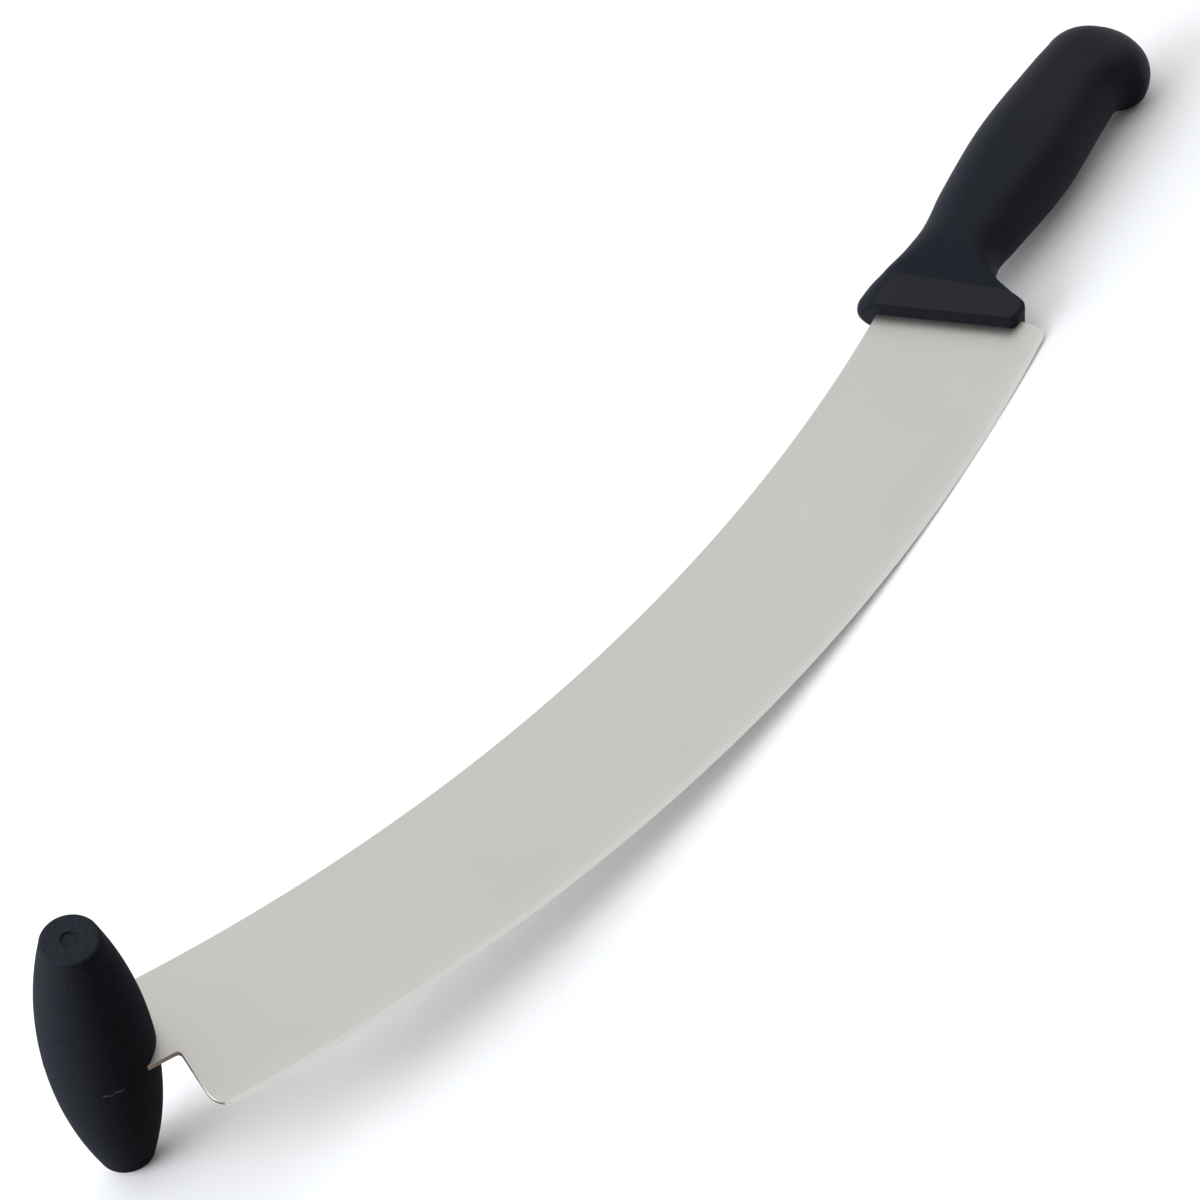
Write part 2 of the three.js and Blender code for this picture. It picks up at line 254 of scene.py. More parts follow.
def blade_outline(grow):
    """Closed outline of the blade and its two tangs, grown outwards by a clearance."""
    spine = SPINE_RADIUS - grow
    edge = EDGE_RADIUS + grow
    tip = TIP_ANGLE - grow / EDGE_RADIUS
    heel = HEEL_ANGLE + grow / EDGE_RADIUS
    tang_edge = SPINE_RADIUS + FRONT_TANG_WIDTH + grow
    shoulder = BARREL_ANGLE + SHOULDER_SETBACK / BARREL_ORBIT
    root = REAR_TANG_ROOT_WIDTH / 2 + grow
    end = REAR_TANG_END_WIDTH / 2 + grow
    tang_end = REAR_TANG_LENGTH + grow
    notch = tip - NOTCH_FILLET / tang_edge
    tip_corner = tip + TIP_CORNER / edge
    heel_corner = heel - HEEL_CORNER / edge
    low_root, high_root = on_heel(-root), on_heel(root)
    low_end, high_end = on_grip(tang_end, -end), on_grip(tang_end, end)
    heel_low, heel_high = on_arc(heel, edge), on_arc(heel, spine)

    eye_start, eye_end = BARREL_ANGLE + QUARTER_TURN, BARREL_ANGLE + 3 * QUARTER_TURN
    corners = [
        (on_arc(notch, tang_edge), on_arc(tip, tang_edge), on_arc(tip, tang_edge + NOTCH_FILLET)),
        (on_arc(tip, edge - TIP_CORNER), on_arc(tip, edge), on_arc(tip_corner, edge)),
        (on_arc(heel_corner, edge), heel_low, on_arc(heel, edge - HEEL_CORNER)),
        (towards(low_root, heel_low, NOTCH_FILLET), low_root, towards(low_root, low_end, NOTCH_FILLET)),
        (towards(low_end, low_root, end / 2), low_end, on_grip(tang_end, -end / 2)),
        (on_grip(tang_end, end / 2), high_end, towards(high_end, high_root, end / 2)),
        (towards(high_root, high_end, NOTCH_FILLET), high_root,
         towards(high_root, heel_high, NOTCH_FILLET)),
    ]
    points = circle(barrel_axis, EYE_RADIUS + grow, eye_start, eye_end)
    points += arc(tang_edge, shoulder, notch)
    points += bend(*corners[0]) + bend(*corners[1])
    points += arc(edge, tip_corner, heel_corner)
    for corner in corners[2:]:
        points += bend(*corner)
    points += arc(spine, heel, shoulder)
    return [p for p, q in zip(points, points[1:] + points[:1]) if (p - q).length > SAME_POINT]


def tang_holes(shrink):
    """Centre and radius of the eye and of the keying holes that the plastic fills."""
    holes = [(barrel_axis, EYE_HOLE_RADIUS - shrink)]
    for i in range(1, KEY_HOLES + 1):
        centre = on_grip(REAR_TANG_LENGTH * (i + KEY_HOLE_SHIFT) / (KEY_HOLES + 1), 0)
        holes.append((centre, KEY_HOLE_RADIUS - shrink))
    return holes


def from_edge(point):
    """Depth of a plan point inside the cutting edge."""
    return EDGE_RADIUS - (point - Vector((0, SPINE_RADIUS))).length


def half_blade(point):
    """Half the blade's thickness: flat, then ground thinner, then bevelled to the edge."""
    depth = max(from_edge(point), 0)
    if depth >= GRIND_WIDTH:
        return BLADE_THICKNESS / 2
    if depth >= BEVEL_WIDTH:
        share = (depth - BEVEL_WIDTH) / (GRIND_WIDTH - BEVEL_WIDTH)
        return mix(GRIND_THICKNESS, BLADE_THICKNESS, share) / 2
    return mix(EDGE_THICKNESS, GRIND_THICKNESS, depth / BEVEL_WIDTH) / 2


def inward(loop, distance):
    """A loop moved to its left, by a distance worked out at each point."""
    moved = []
    for before, point, after in zip(loop[-1:] + loop[:-1], loop, loop[1:] + loop[:1]):
        run = ((point - before).normalized() + (after - point).normalized()).normalized()
        moved.append(point + Vector((-run.y, run.x)) * distance(point))
    return moved


def mesh_object(name, mesh):
    """A new object in the scene that holds a finished bmesh."""
    data = bpy.data.meshes.new(name)
    mesh.to_mesh(data)
    mesh.free()
    made = bpy.data.objects.new(name, data)
    bpy.context.scene.collection.objects.link(made)
    return made


def blade_plate(name, grow, rim):
    """The ground plate with its tangs, grown by a clearance, its rims broken by a small chamfer."""

    def half(point):
        return half_blade(point) + grow

    def chamfer(point):
        return min(rim, LARGEST_RIM * half(point))

    holes = tang_holes(grow)
    loops = [blade_outline(grow)] + [circle(c, r, 2 * math.pi, 0)[1:] for c, r in holes]
    if rim:
        loops += [inward(loop, chamfer) for loop in loops]
    run_out = CREASE_RUN_OUT / EDGE_RADIUS
    creases = []
    for depth in (GRIND_WIDTH, BEVEL_WIDTH):
        creases.append(arc(EDGE_RADIUS - depth, TIP_ANGLE - run_out, HEEL_ANGLE + run_out))

    plan, edges = [], []
    for loop in loops:
        edges += [(len(plan) + i, len(plan) + (i + 1) % len(loop)) for i in range(len(loop))]
        plan += loop
    for crease in creases:
        edges += [(len(plan) + i, len(plan) + i + 1) for i in range(len(crease) - 1)]
        plan += crease
    places, _, faces, *_ = delaunay_2d_cdt(plan, edges, [], 1, PLAN_PRECISION)

    def fills_hole(face):
        return any(all((places[i] - c).length < r + HOLE_MARGIN for i in face) for c, r in holes)

    faces = [face for face in faces if not fills_hole(face)]
    sides = {pair for face in faces for pair in zip(face, face[1:] + face[:1])}
    border = sorted((a, b) for a, b in sides if (b, a) not in sides)
    on_border = {i for pair in border for i in pair}
    used = sorted({i for face in faces for i in face})

    mesh = bmesh.new()
    skins = []
    for sign in (1, -1):
        skin = {}
        for i in used:
            z = half(places[i]) - (chamfer(places[i]) if i in on_border else 0)
            skin[i] = mesh.verts.new(Vector((*places[i], sign * z)) * METRES_PER_MM)
        skins.append(skin)
    upper, lower = skins
    for face in faces:
        middle = sum((places[i] for i in face), Vector((0, 0))) / len(face)
        for skin in skins:
            mesh.faces.new([skin[i] for i in face]).material_index = int(from_edge(middle) < BEVEL_WIDTH)
    for a, b in border:
        side = mesh.faces.new([lower[a], lower[b], upper[b], upper[a]])
        side.material_index = 1 if from_edge(places[a]) < BEVEL_WIDTH else 2
    bmesh.ops.recalc_face_normals(mesh, faces=mesh.faces)
    return mesh_object(name, mesh)


def skin_rings(mesh, rings):
    """Quads between rings of equal point counts, given from the first end to the last."""
    rows = [[mesh.verts.new(p * METRES_PER_MM) for p in ring] for ring in rings]
    for low, high in zip(rows, rows[1:]):
        for i in range(len(low)):
            j = (i + 1) % len(low)
            mesh.faces.new([low[i], low[j], high[j], high[i]])
    return rows


def close_end(mesh, row, point):
    """Fan from the last ring of points to a point on the axis."""
    tip = mesh.verts.new(point * METRES_PER_MM)
    for i in range(len(row)):
        mesh.faces.new([row[i], row[(i + 1) % len(row)], tip])


def finish_skin(name, mesh):
    bmesh.ops.remove_doubles(mesh, verts=mesh.verts, dist=WELD_DISTANCE)
    bmesh.ops.recalc_face_normals(mesh, faces=mesh.faces)
    return mesh_object(name, mesh)


# Main handle: sections across the grip, slanted at the guard and square from the palm on

neck_at = GUARD_LENGTH + GUARD_TO_NECK
beak_at = HANDLE_LENGTH - BEAK_LENGTH
waist_at = beak_at - WAIST_TO_BEAK
palm_at = mix(neck_at, waist_at, PALM_PLACE)
butt_at = HANDLE_LENGTH - BUTT_LENGTH
butt_centre = -BUTT_DROP * BEAK_REACH


def between(start, end, along, across):
    """Point between two stations of a side, at a share of the way along the grip and across it."""
    return mix(start[0], end[0], along), mix(start[1], end[1], across)


# Stations of the sides: numbers are shares of the guard's length, of a reach, or of the way between two
nose = (0.32 * GUARD_LENGTH, NOSE_REACH)
spine_neck = (neck_at, NECK_SPINE_REACH)
spine_palm = (palm_at, PALM_SPINE_REACH)
spine_side = rail([
    (0, 0.84 * NOSE_REACH),
    (0.11 * GUARD_LENGTH, 0.95 * NOSE_REACH),
    nose,
    between(nose, spine_neck, 0.16, 0.04),
    between(nose, spine_neck, 0.4, 0.34),
    between(nose, spine_neck, 0.68, 0.8),
    spine_neck,
    between(spine_neck, spine_palm, 0.34, 0.52),
    spine_palm,
    (waist_at, WAIST_SPINE_REACH),
    (butt_at, 0.93 * WAIST_SPINE_REACH),
])

guard = (0.43 * GUARD_LENGTH, GUARD_REACH)
edge_neck = (neck_at, NECK_EDGE_REACH)
edge_palm = (palm_at, PALM_EDGE_REACH)
edge_waist = (waist_at, WAIST_EDGE_REACH)
beak = (beak_at, BEAK_REACH)
edge_side = rail([
    (0, 0.965 * GUARD_REACH),
    (0.1 * GUARD_LENGTH, 0.99 * GUARD_REACH),
    guard,
    between(guard, edge_neck, 0.12, 0.06),
    between(guard, edge_neck, 0.3, 0.39),
    between(guard, edge_neck, 0.47, 0.74),
    between(guard, edge_neck, 0.64, 0.92),
    edge_neck,
    between(edge_neck, edge_palm, 0.23, 0.27),
    edge_palm,
    edge_waist,
    between(edge_waist, beak, 0.52, 0.27),
    between(edge_waist, beak, 0.83, 0.85),
    beak,
])

guard_back = (GUARD_LENGTH, GUARD_THICKNESS / 2)
neck_side = (neck_at, NECK_THICKNESS / 2)
swell = rail([
    guard_back,
    between(guard_back, neck_side, 0.68, 0.78),
    neck_side,
    (palm_at, PALM_THICKNESS / 2),
    (waist_at, WAIST_THICKNESS / 2),
    (butt_at, WAIST_THICKNESS / 2),
])


def half_thickness(u):
    """Half the grip's thickness: flat at the guard, then swelling from a crease behind it."""
    return swell(max(u, GUARD_LENGTH))


def closing(u, start):
    """Roundness of the butt: full width where it starts, closed at the end of the handle."""
    t = min(max((u - start) / (HANDLE_LENGTH - start), 0), 1)
    return math.sqrt(1 - t * t)


def grip_section(u, inset=0, corner_steps=14, flat_steps=8):
    """Ring of points round the grip: four rounded corners, joined by flats."""
    high = butt_centre + (spine_side(u) - butt_centre) * closing(u, butt_at) - inset
    low = butt_centre - (edge_side(u) + butt_centre) * closing(u, beak_at) + inset
    up = half_thickness(u) * closing(u, butt_at) - inset
    rounding = smooth(u, GUARD_LENGTH, neck_at)
    high_in = min(mix(GUARD_THICKNESS / 2, GRIP_ROUNDING, rounding), LARGEST_ROUNDING * (high - low))
    low_in = min(mix(GUARD_RIM, GRIP_ROUNDING, rounding), LARGEST_ROUNDING * (high - low))
    low_up = mix(GUARD_RIM, up, rounding)
    square_at = mix(neck_at, palm_at, SLANT_END)
    slant = math.tan(math.radians(FRONT_SLANT)) * (1 - smooth(u, 0, square_at))
    corners = [
        (high - high_in, 0, high_in, up),
        (low + low_in, up - low_up, low_in, low_up),
        (low + low_in, low_up - up, low_in, low_up),
        (high - high_in, 0, high_in, up),
    ]
    outline = []
    for quarter, (across, height, reach, rise) in enumerate(corners):
        for i in range(corner_steps + 1):
            turn = QUARTER_TURN * (quarter + i / corner_steps)
            outline.append(Vector((across + reach * math.cos(turn), height + rise * math.sin(turn))))
        if quarter == 3:
            outline.pop()
            break
        across, height, reach, rise = corners[quarter + 1]
        turn = QUARTER_TURN * (quarter + 1)
        start = outline[-1]
        end = Vector((across + reach * math.cos(turn), height + rise * math.sin(turn)))
        outline += [start.lerp(end, i / flat_steps) for i in range(1, flat_steps)]
    return [Vector((*on_grip(u - slant * p.x, p.x), p.y)) for p in outline]


def main_grip(name):
    """The sculpted grip: guard with a crisp front rim, neck, palm swell, waist, beak and round butt."""
    rings = []
    for i in range(RIM_STEPS + 1):
        turn = QUARTER_TURN * i / RIM_STEPS
        rings.append(grip_section(FRONT_RIM * (1 - math.cos(turn)), FRONT_RIM * (1 - math.sin(turn))))
    stations = [FRONT_RIM, GUARD_LENGTH, neck_at, waist_at, butt_at]
    for start, end, spacing in zip(stations, stations[1:], GRIP_SPACINGS):
        steps = math.ceil((end - start) / spacing)
        rings += [grip_section(mix(start, end, i / steps)) for i in range(1, steps + 1)]
    for i in range(1, BUTT_RINGS):
        rings.append(grip_section(butt_at + BUTT_LENGTH * math.sin(QUARTER_TURN * i / BUTT_RINGS)))
    mesh = bmesh.new()
    rows = skin_rings(mesh, rings)
    mesh.faces.new(rows[0][::-1])
    close_end(mesh, rows[-1], Vector((*on_grip(HANDLE_LENGTH, butt_centre), 0)))
    return finish_skin(name, mesh)


def barrel_side(height):
    """Radius of the cross handle at a height along its axis: an arc from end to end."""
    half = BARREL_LENGTH / 2
    drop = (BARREL_DIAMETER - BARREL_END_DIAMETER) / 2
    sweep = (half * half + drop * drop) / (2 * drop)
    line = MOULD_LINE_HEIGHT * (1 - smooth(abs(height), 0, MOULD_LINE_WIDTH / 2))
    middle = BARREL_DIAMETER / 2 - MOULD_LINE_HEIGHT
    return middle - sweep + math.sqrt(sweep * sweep - height * height) + line


def cross_grip(name, around=160):
    """The barrel grip: flat ends with crisp rims, a mould line round it and a gate mark on one end."""
    half = BARREL_LENGTH / 2
    flank = half - BARREL_END_FILLET
    rim = []
    for i in range(RIM_STEPS + 1):
        turn = QUARTER_TURN * i / RIM_STEPS
        radius = barrel_side(flank) - BARREL_END_FILLET * (1 - math.sin(turn))
        rim.append((radius, half - BARREL_END_FILLET * (1 - math.cos(turn))))
    heights = [flank * (i / FLANK_RINGS) for i in range(1, FLANK_RINGS)]
    line_steps = range(1, MOULD_LINE_RINGS + 1)
    heights += [MOULD_LINE_WIDTH / 2 * i / MOULD_LINE_RINGS for i in line_steps]
    heights = sorted([-h for h in heights] + [0] + heights)
    gate = GATE_DIAMETER / 2
    profile = [(radius, -height) for radius, height in rim]
    profile += [(barrel_side(h), h) for h in heights]
    profile += rim[::-1]
    profile += [(gate + GATE_CHAMFER, half), (gate, half - GATE_CHAMFER), (gate, half - GATE_DEPTH)]

    mesh = bmesh.new()
    turns = [2 * math.pi * i / around for i in range(around)]
    spokes = [Vector((math.cos(a), math.sin(a))) for a in turns]
    rings = []
    for radius, height in profile:
        rings.append([Vector((*(barrel_axis + radius * spoke), height)) for spoke in spokes])
    rows = skin_rings(mesh, rings)
    close_end(mesh, rows[0], Vector((*barrel_axis, -half)))
    close_end(mesh, rows[-1], Vector((*barrel_axis, half - GATE_DEPTH)))
    return finish_skin(name, mesh)


def cut_slot(handle, tool):
    """Take the blade's room out of a handle, then keep only its real corners sharp."""
    cut = handle.modifiers.new("slot", "BOOLEAN")
    cut.operation = "DIFFERENCE"
    cut.solver = "EXACT"
    cut.object = tool
    evaluated = handle.evaluated_get(bpy.context.evaluated_depsgraph_get())
    handle.data = bpy.data.meshes.new_from_object(evaluated)
    handle.modifiers.clear()
    handle.data.shade_smooth()
    handle.data.set_sharp_from_angle(angle=math.radians(SHARP_ANGLE))


def mark_guard_flats(handle):
    """Give the second material to the guard's flat sides and its front face."""
    slant = math.radians(FRONT_SLANT)
    forward = Vector((*(grip_turn @ Vector((-math.cos(slant), -math.sin(slant)))), 0))
    for face in handle.data.polygons:
        height = abs(face.center.z) / METRES_PER_MM
        on_side = abs(height - GUARD_THICKNESS / 2) < FLATNESS and abs(face.normal.z) > SAME_WAY
        face.material_index = int(on_side or face.normal.dot(forward) > SAME_WAY)


def find_place():
    """Placement of the knife's own frame: upper side from the mount, place from the cross handle's node."""
    mounts = {mount["name"]: mount for mount in frame["record"]["mounts"]}
    upper_side = Vector(mounts["blade_side_up"]["axis"])
    lean = Vector((0, 0, 1)).rotation_difference(upper_side).to_matrix()
    points = [lean.inverted() @ v.co for v in frame["nodes"]["cross_handle"].data.vertices]
    low = Vector([min(p[i] for p in points) for i in range(3)])
    high = Vector([max(p[i] for p in points) for i in range(3)])
    shift = (low + high) / 2 - Vector((*barrel_axis, 0)) * METRES_PER_MM
    return Matrix.Translation(lean @ shift) @ lean.to_4x4()


knife_place = find_place()


# Materials

POLYPROPYLENE_IOR = 1.49
GRIP_COLOUR = "#1f212a"
BARREL_COLOUR = "#2f3238"
RUBBED_PLASTIC = "#8c8c90"


def linear(colour):
    """A colour written as sRGB hex, in the linear values that shaders take."""
    parts = [int(colour[i:i + 2], 16) / 255 for i in (1, 3, 5)]
    return [c / 12.92 if c <= 0.04045 else ((c + 0.055) / 1.055) ** 2.4 for c in parts] + [1]


def shaded(colour, factor):
    """A hex colour in linear values, made darker or lighter."""
    return [c * factor for c in linear(colour)[:3]] + [1]


def add(tree, kind, inputs=None, **settings):
    """A new node with its settings, each input a value or the output that feeds it."""
    made = tree.nodes.new(kind)
    for name, value in settings.items():
        setattr(made, name, value)
    for socket, value in (inputs or {}).items():
        if isinstance(value, bpy.types.NodeSocket):
            tree.links.new(value, made.inputs[socket])
        else:
            made.inputs[socket].default_value = value
    return made


def new_material(name):
    """An empty material, its tree and the place on the knife, in millimetres of the knife's own frame."""
    material = bpy.data.materials.new(name)
    material.use_nodes = True
    tree = material.node_tree
    tree.nodes.clear()
    place = add(tree, "ShaderNodeMapping", {
        "Vector": add(tree, "ShaderNodeTexCoord").outputs["Object"],
        "Location": knife_place.translation,
        "Rotation": knife_place.to_euler(),
        "Scale": (METRES_PER_MM, METRES_PER_MM, METRES_PER_MM),
    }, vector_type="TEXTURE")
    return material, tree, place.outputs[0]


def finish_material(tree, shader):
    add(tree, "ShaderNodeOutputMaterial", {"Surface": shader.outputs[0]})


def ground_steel(name, colour, roughness, line_bump):
    """Stainless steel ground on a belt from spine to edge: satin, soft clouds, faint cross lines and a
    painted sheen along the edge.
    """
    material, tree, place = new_material(name)
    arc_centre = (0, SPINE_RADIUS, 0)
    spoke = add(tree, "ShaderNodeVectorMath", {0: place, 1: arc_centre}, operation="SUBTRACT").outputs[0]
    axes = add(tree, "ShaderNodeSeparateXYZ", {0: spoke}).outputs
    down = add(tree, "ShaderNodeMath", {0: axes["Y"], 1: -1.0}, operation="MULTIPLY").outputs[0]
    angle = add(tree, "ShaderNodeMath", {0: axes["X"], 1: down}, operation="ARCTAN2").outputs[0]
    along = add(tree, "ShaderNodeMath", {0: angle, 1: SPINE_RADIUS}, operation="MULTIPLY").outputs[0]
    radius = add(tree, "ShaderNodeVectorMath", {0: spoke}, operation="LENGTH").outputs["Value"]

    # Belt lines are about 0.1 mm apart on such a blade, and are drawn at 0.45 mm so that they show
    line_spacing, line_length, line_depth = 0.45, 30, 0.02
    line = add(tree, "ShaderNodeMath", {0: along, 1: 1 / line_spacing}, operation="MULTIPLY").outputs[0]
    run = add(tree, "ShaderNodeMath", {0: radius, 1: 1 / line_length}, operation="MULTIPLY").outputs[0]
    line_place = add(tree, "ShaderNodeCombineXYZ", {"X": line, "Y": run, "Z": axes["Z"]}).outputs[0]
    line_noise = {"Vector": line_place, "Scale": 1.0, "Detail": 3.0}
    lines = add(tree, "ShaderNodeTexNoise", line_noise).outputs["Fac"]

    cloud_size, cloud_share, line_share = 55, 0.75, 0.25
    cloud_noise = {"Vector": place, "Scale": 1 / cloud_size, "Detail": 2.0}
    clouds = add(tree, "ShaderNodeTexNoise", cloud_noise).outputs["Fac"]
    tone = add(tree, "ShaderNodeMath", {0: clouds, 1: cloud_share}, operation="MULTIPLY").outputs[0]
    both = {0: lines, 1: line_share, 2: tone}
    tone = add(tree, "ShaderNodeMath", both, operation="MULTIPLY_ADD").outputs[0]

    # Painted sheen: a lighter band along the edge, where the ground surface catches more light
    painted_sheen_width, painted_sheen_lift = 8, 0.5
    painted_sheen_reach = {0: radius, 1: EDGE_RADIUS - painted_sheen_width, 2: EDGE_RADIUS, 3: 0.0, 4: painted_sheen_lift}
    painted_sheen_band = add(tree, "ShaderNodeMapRange", painted_sheen_reach, interpolation_type="SMOOTHSTEP").outputs[0]
    tone = add(tree, "ShaderNodeMath", {0: tone, 1: painted_sheen_band}, operation="ADD").outputs[0]
    spread = 0.05
    shades = {"Factor": tone, 6: shaded(colour, 1 - spread), 7: shaded(colour, 1 + spread)}
    shade = add(tree, "ShaderNodeMix", shades, data_type="RGBA", clamp_factor=False).outputs[2]
    roughnesses = {0: lines, 3: roughness - spread, 4: roughness + spread}
    rough = add(tree, "ShaderNodeMapRange", roughnesses).outputs[0]
    grooves = {"Height": lines, "Strength": line_bump, "Distance": line_depth * METRES_PER_MM}
    bump = add(tree, "ShaderNodeBump", grooves)
    shader = add(tree, "ShaderNodeBsdfPrincipled", {
        "Base Color": shade,
        "Metallic": 1.0,
        "Roughness": rough,
        "Normal": bump.outputs[0],
    })
    finish_material(tree, shader)
    return material


def scuff(tree, place, middle, half_length, height, slope):
    """Mask of one rubbed stroke by the mould line: angles round the barrel in degrees, heights in mm.

    The slope is the rise in millimetres for each radian round the barrel.
    """
    axis = (*barrel_axis, 0)
    spoke = add(tree, "ShaderNodeVectorMath", {0: place, 1: axis}, operation="SUBTRACT").outputs[0]
    axes = add(tree, "ShaderNodeSeparateXYZ", {0: spoke}).outputs
    angle = add(tree, "ShaderNodeMath", {0: axes["Y"], 1: axes["X"]}, operation="ARCTAN2").outputs[0]
    past = add(tree, "ShaderNodeMath", {0: angle, 1: math.radians(middle)}, operation="SUBTRACT").outputs[0]
    lean = {0: past, 1: -slope, 2: -height}
    line = add(tree, "ShaderNodeMath", lean, operation="MULTIPLY_ADD").outputs[0]
    off = add(tree, "ShaderNodeMath", {0: axes["Z"], 1: line}, operation="ADD").outputs[0]
    off = add(tree, "ShaderNodeMath", {0: off}, operation="ABSOLUTE").outputs[0]
    beyond = add(tree, "ShaderNodeMath", {0: past}, operation="ABSOLUTE").outputs[0]
    core, border, whole_share = 0.2, 0.6, 0.7
    reach = math.radians(half_length)
    sides = {0: off, 1: core, 2: border, 3: 1.0, 4: 0.0}
    across = add(tree, "ShaderNodeMapRange", sides).outputs[0]
    ends = {0: beyond, 1: reach * whole_share, 2: reach, 3: 1.0, 4: 0.0}
    along = add(tree, "ShaderNodeMapRange", ends).outputs[0]
    return add(tree, "ShaderNodeMath", {0: across, 1: along}, operation="MULTIPLY").outputs[0]


def moulded_plastic(name, colour, roughness, gloss, grain, depth, contrast, scuffs=()):
    """Polypropylene moulded in a spark-eroded tool: blue-black, matt, with a pebbled grain."""
    pebble_low, pebble_high, rough_spread = 0.35, 0.7, 0.08
    tear_size, tear_low, tear_high = 0.8, 0.35, 0.6
    material, tree, place = new_material(name)
    pebble_noise = {"Vector": place, "Scale": 1 / grain, "Detail": 1.0}
    pebbles = add(tree, "ShaderNodeTexNoise", pebble_noise).outputs["Fac"]
    tone = add(tree, "ShaderNodeMapRange", {0: pebbles, 1: pebble_low, 2: pebble_high}).outputs[0]
    shades = {"Factor": tone, 6: shaded(colour, 1 - contrast), 7: shaded(colour, 1 + contrast)}
    shade = add(tree, "ShaderNodeMix", shades, data_type="RGBA").outputs[2]
    tear_noise = {"Vector": place, "Scale": 1 / tear_size, "Detail": 2.0}
    torn = add(tree, "ShaderNodeTexNoise", tear_noise).outputs["Fac"]
    torn = add(tree, "ShaderNodeMapRange", {0: torn, 1: tear_low, 2: tear_high}).outputs[0]
    for stroke in scuffs:
        mask = scuff(tree, place, **stroke)
        mask = add(tree, "ShaderNodeMath", {0: mask, 1: torn}, operation="MULTIPLY").outputs[0]
        rubbed = {"Factor": mask, 6: shade, 7: linear(RUBBED_PLASTIC)}
        shade = add(tree, "ShaderNodeMix", rubbed, data_type="RGBA").outputs[2]
    roughnesses = {0: pebbles, 3: roughness - rough_spread, 4: roughness + rough_spread}
    rough = add(tree, "ShaderNodeMapRange", roughnesses).outputs[0]
    pits = {"Height": pebbles, "Strength": 1.0, "Distance": depth * METRES_PER_MM}
    bump = add(tree, "ShaderNodeBump", pits)
    shader = add(tree, "ShaderNodeBsdfPrincipled", {
        "Base Color": shade,
        "Roughness": rough,
        "IOR": POLYPROPYLENE_IOR,
        "Specular IOR Level": gloss,
        "Normal": bump.outputs[0],
    })
    finish_material(tree, shader)
    return material


# The flat of the blade: a soft grey sheen that shows no clear reflections
satin_steel = ground_steel("satin_ground_stainless_steel", "#c9c6c0", roughness=0.42, line_bump=0.3)

# The bevel: a narrow line, really smoother than the flat, and a little brighter because its lighter colour
# is a painted highlight
honed_steel_painted_highlight = ground_steel("honed_stainless_edge_painted_highlight", "#d4d2ce", roughness=0.34, line_bump=0.1)

# The sides of the plate: dull, and brownish as they look at the notch; the brownish colour is a painted
# reflection of a brown surface below the knife
sheared_steel_painted_reflection = ground_steel("sheared_stainless_painted_reflection", "#7d6d62", roughness=0.6, line_bump=0.6)

# The main handle: an even, dark bloom. Its grain is too fine to show, and is drawn at 0.35 mm
smooth_polypropylene = moulded_plastic(
    "fine_grained_polypropylene", GRIP_COLOUR,
    roughness=0.55, gloss=0.1, grain=0.35, depth=0.01, contrast=0.1)

# The guard's flat sides and front face: the same plastic, a little smoother, so they catch more light
guard_polypropylene = moulded_plastic(
    "smooth_moulded_polypropylene", GRIP_COLOUR,
    roughness=0.5, gloss=0.16, grain=0.35, depth=0.01, contrast=0.1)

# The cross handle: a dry, pebbled skin. Its grain too is drawn coarser than it is, at 0.6 mm
grained_polypropylene = moulded_plastic(
    "spark_grained_polypropylene", BARREL_COLOUR,
    roughness=0.7, gloss=0.01, grain=0.6, depth=0.2, contrast=0.18,
    scuffs=[
        {"middle": -126, "half_length": 6, "height": -0.7, "slope": -3.0},
        {"middle": -114, "half_length": 7, "height": -0.15, "slope": -1.5},
    ])


# The knife, laid where the frame holds it

def lay(piece, node, slot, *materials):
    piece.data.transform(knife_place)
    for material in materials:
        piece.data.materials.append(material)
    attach(piece, "root")
    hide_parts(node)


blade = blade_plate("curved_blade", 0, DEBURRED_RIM)
main_handle = main_grip("sculpted_grip")
cross_handle = cross_grip("barrel_grip")
blade_room = blade_plate("blade_room", MOULD_GAP, 0)
for handle in (main_handle, cross_handle):
    cut_slot(handle, blade_room)
bpy.data.objects.remove(blade_room)
mark_guard_flats(main_handle)

lay(blade, "blade", "blade_steel", satin_steel, honed_steel_painted_highlight, sheared_steel_painted_reflection)
lay(main_handle, "main_handle", "handle_plastic", smooth_polypropylene, guard_polypropylene)
lay(cross_handle, "cross_handle", "handle_plastic", grained_polypropylene)


# Stage: white floor, a soft box at the left, and a room that is lighter above and behind the knife

FLOOR_SEEN = "#ffffff"
FLOOR_BOUNCE = "#42362e"


def pale_floor(half_width=8):
    """A floor that is white to the eye and in reflections, and sends little light up under the knife."""
    mesh = bmesh.new()
    corners = [(-1, -1), (1, -1), (1, 1), (-1, 1)]
    mesh.faces.new([mesh.verts.new((x * half_width, y * half_width, 0)) for x, y in corners])
    floor = mesh_object("floor", mesh)
    material, tree, _ = new_material("matt_white_floor")
    rays = add(tree, "ShaderNodeLightPath").outputs
    seen = rays["Is Camera Ray"]
    for kind in ("Is Glossy Ray", "Is Transmission Ray"):
        seen = add(tree, "ShaderNodeMath", {0: seen, 1: rays[kind]}, operation="MAXIMUM").outputs[0]
    colours = {"Factor": seen, 6: linear(FLOOR_BOUNCE), 7: linear(FLOOR_SEEN)}
    colour = add(tree, "ShaderNodeMix", colours, data_type="RGBA").outputs[2]
    finish_material(tree, add(tree, "ShaderNodeBsdfDiffuse", {"Color": colour}))
    floor.data.materials.append(material)


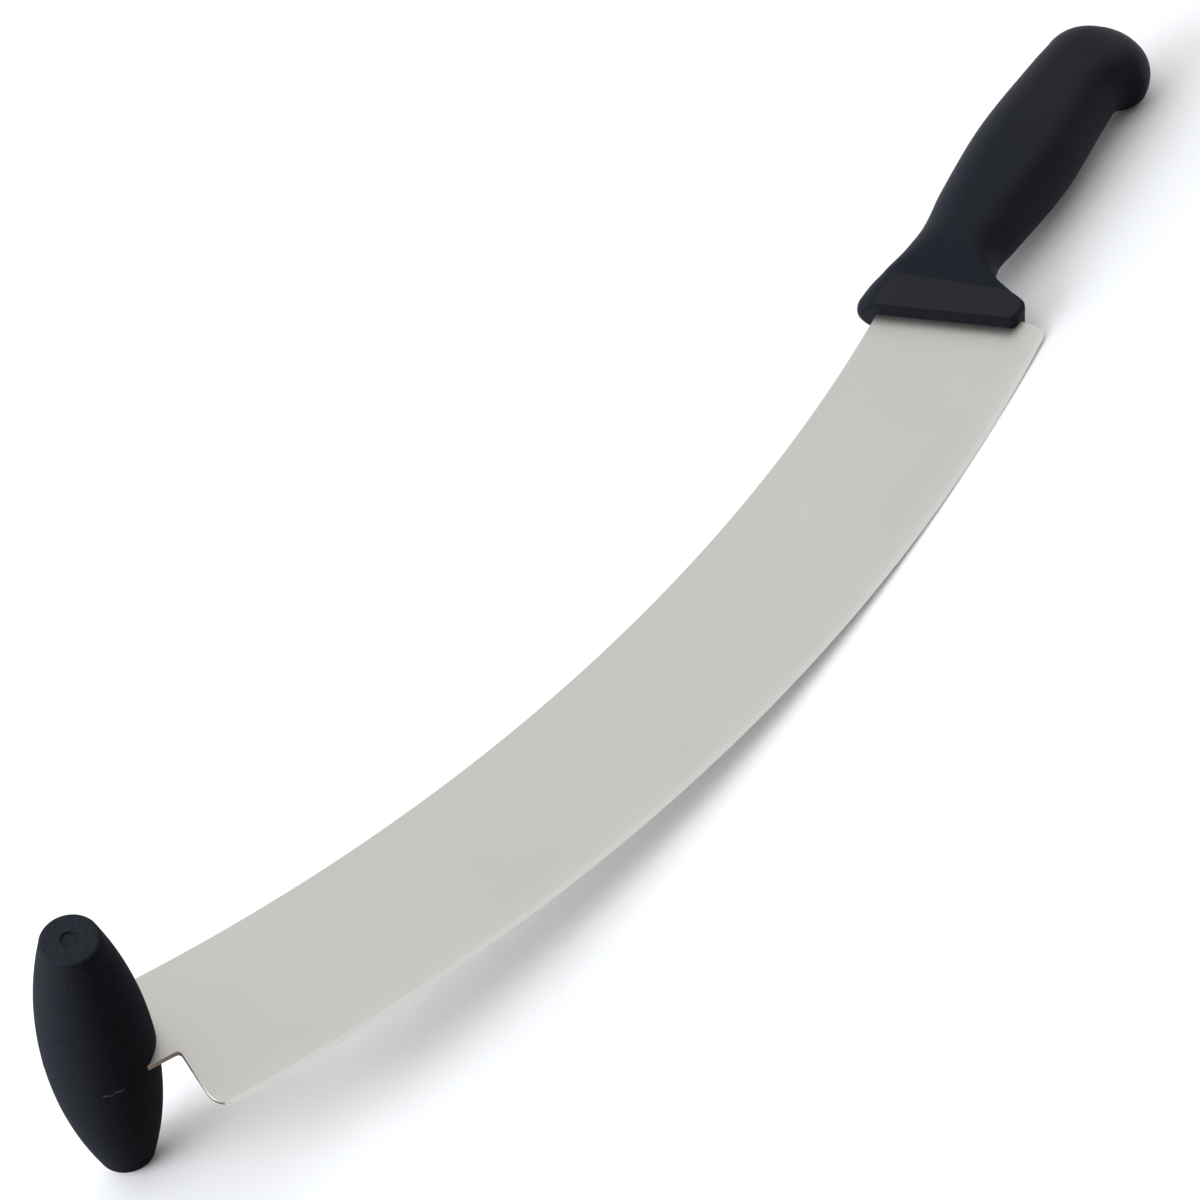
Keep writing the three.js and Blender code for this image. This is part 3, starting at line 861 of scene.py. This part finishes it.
def soft_box(name, place, aim, width, height, colour, power):
    """A rectangular lamp turned towards a point, in metres and watts."""
    lamp = bpy.data.lights.new(name, "AREA")
    lamp.color = linear(colour)[:3]
    lamp.shape = "RECTANGLE"
    lamp.size = width
    lamp.size_y = height
    lamp.energy = power
    made = bpy.data.objects.new(name, lamp)
    made.location = place
    made.rotation_euler = (Vector(aim) - Vector(place)).to_track_quat("-Z", "Y").to_euler()
    bpy.context.scene.collection.objects.link(made)


def room_light(colour, side, bright, dim, dim_below, bright_above):
    """Even light from a wide ceiling and one side of the room, dimmer towards the other side."""
    world = bpy.data.worlds.new("room")
    world.use_nodes = True
    tree = world.node_tree
    tree.nodes.clear()
    outward = add(tree, "ShaderNodeTexCoord").outputs["Generated"]
    towards_side = {0: outward, 1: Vector(side).normalized()}
    facing = add(tree, "ShaderNodeVectorMath", towards_side, operation="DOT_PRODUCT").outputs["Value"]
    levels = {0: facing, 1: dim_below, 2: bright_above, 3: dim, 4: bright}
    level = add(tree, "ShaderNodeMapRange", levels)
    light = add(tree, "ShaderNodeBackground", {"Color": linear(colour), "Strength": level.outputs[0]})
    add(tree, "ShaderNodeOutputWorld", {"Surface": light.outputs[0]})
    bpy.context.scene.world = world


def photo_camera():
    """The camera at the photograph's viewing angle."""
    lens = bpy.data.cameras.new("camera")
    lens.sensor_width = CAMERA_SENSOR
    lens.lens = CAMERA_LENS
    camera = bpy.data.objects.new("camera", lens)
    azimuth, elevation = math.radians(CAMERA_AZIMUTH), math.radians(CAMERA_ELEVATION)
    level = math.cos(elevation)
    back = Vector((math.sin(azimuth) * level, -math.cos(azimuth) * level, math.sin(elevation)))
    camera.location = (Vector(CAMERA_AIM) + back * CAMERA_DISTANCE) * METRES_PER_MM
    camera.rotation_mode = "QUATERNION"
    roll = Quaternion((0, 0, 1), math.radians(CAMERA_ROLL))
    camera.rotation_quaternion = (-back).to_track_quat("-Z", "Y") @ roll
    bpy.context.scene.collection.objects.link(camera)
    bpy.context.scene.camera = camera


pale_floor()
soft_box(
    "window_box", place=(-1.8, 0.6, 0.95), aim=(0, 0, 0), width=1.6, height=1.2, colour="#f6f9ff", power=30)
room_light(
    "#fafcfe", side=(0.15, 0.55, 0.82), bright=1.07, dim=0.16, dim_below=0.0, bright_above=0.45)
photo_camera()
bpy.context.scene.view_settings.view_transform = "Standard"
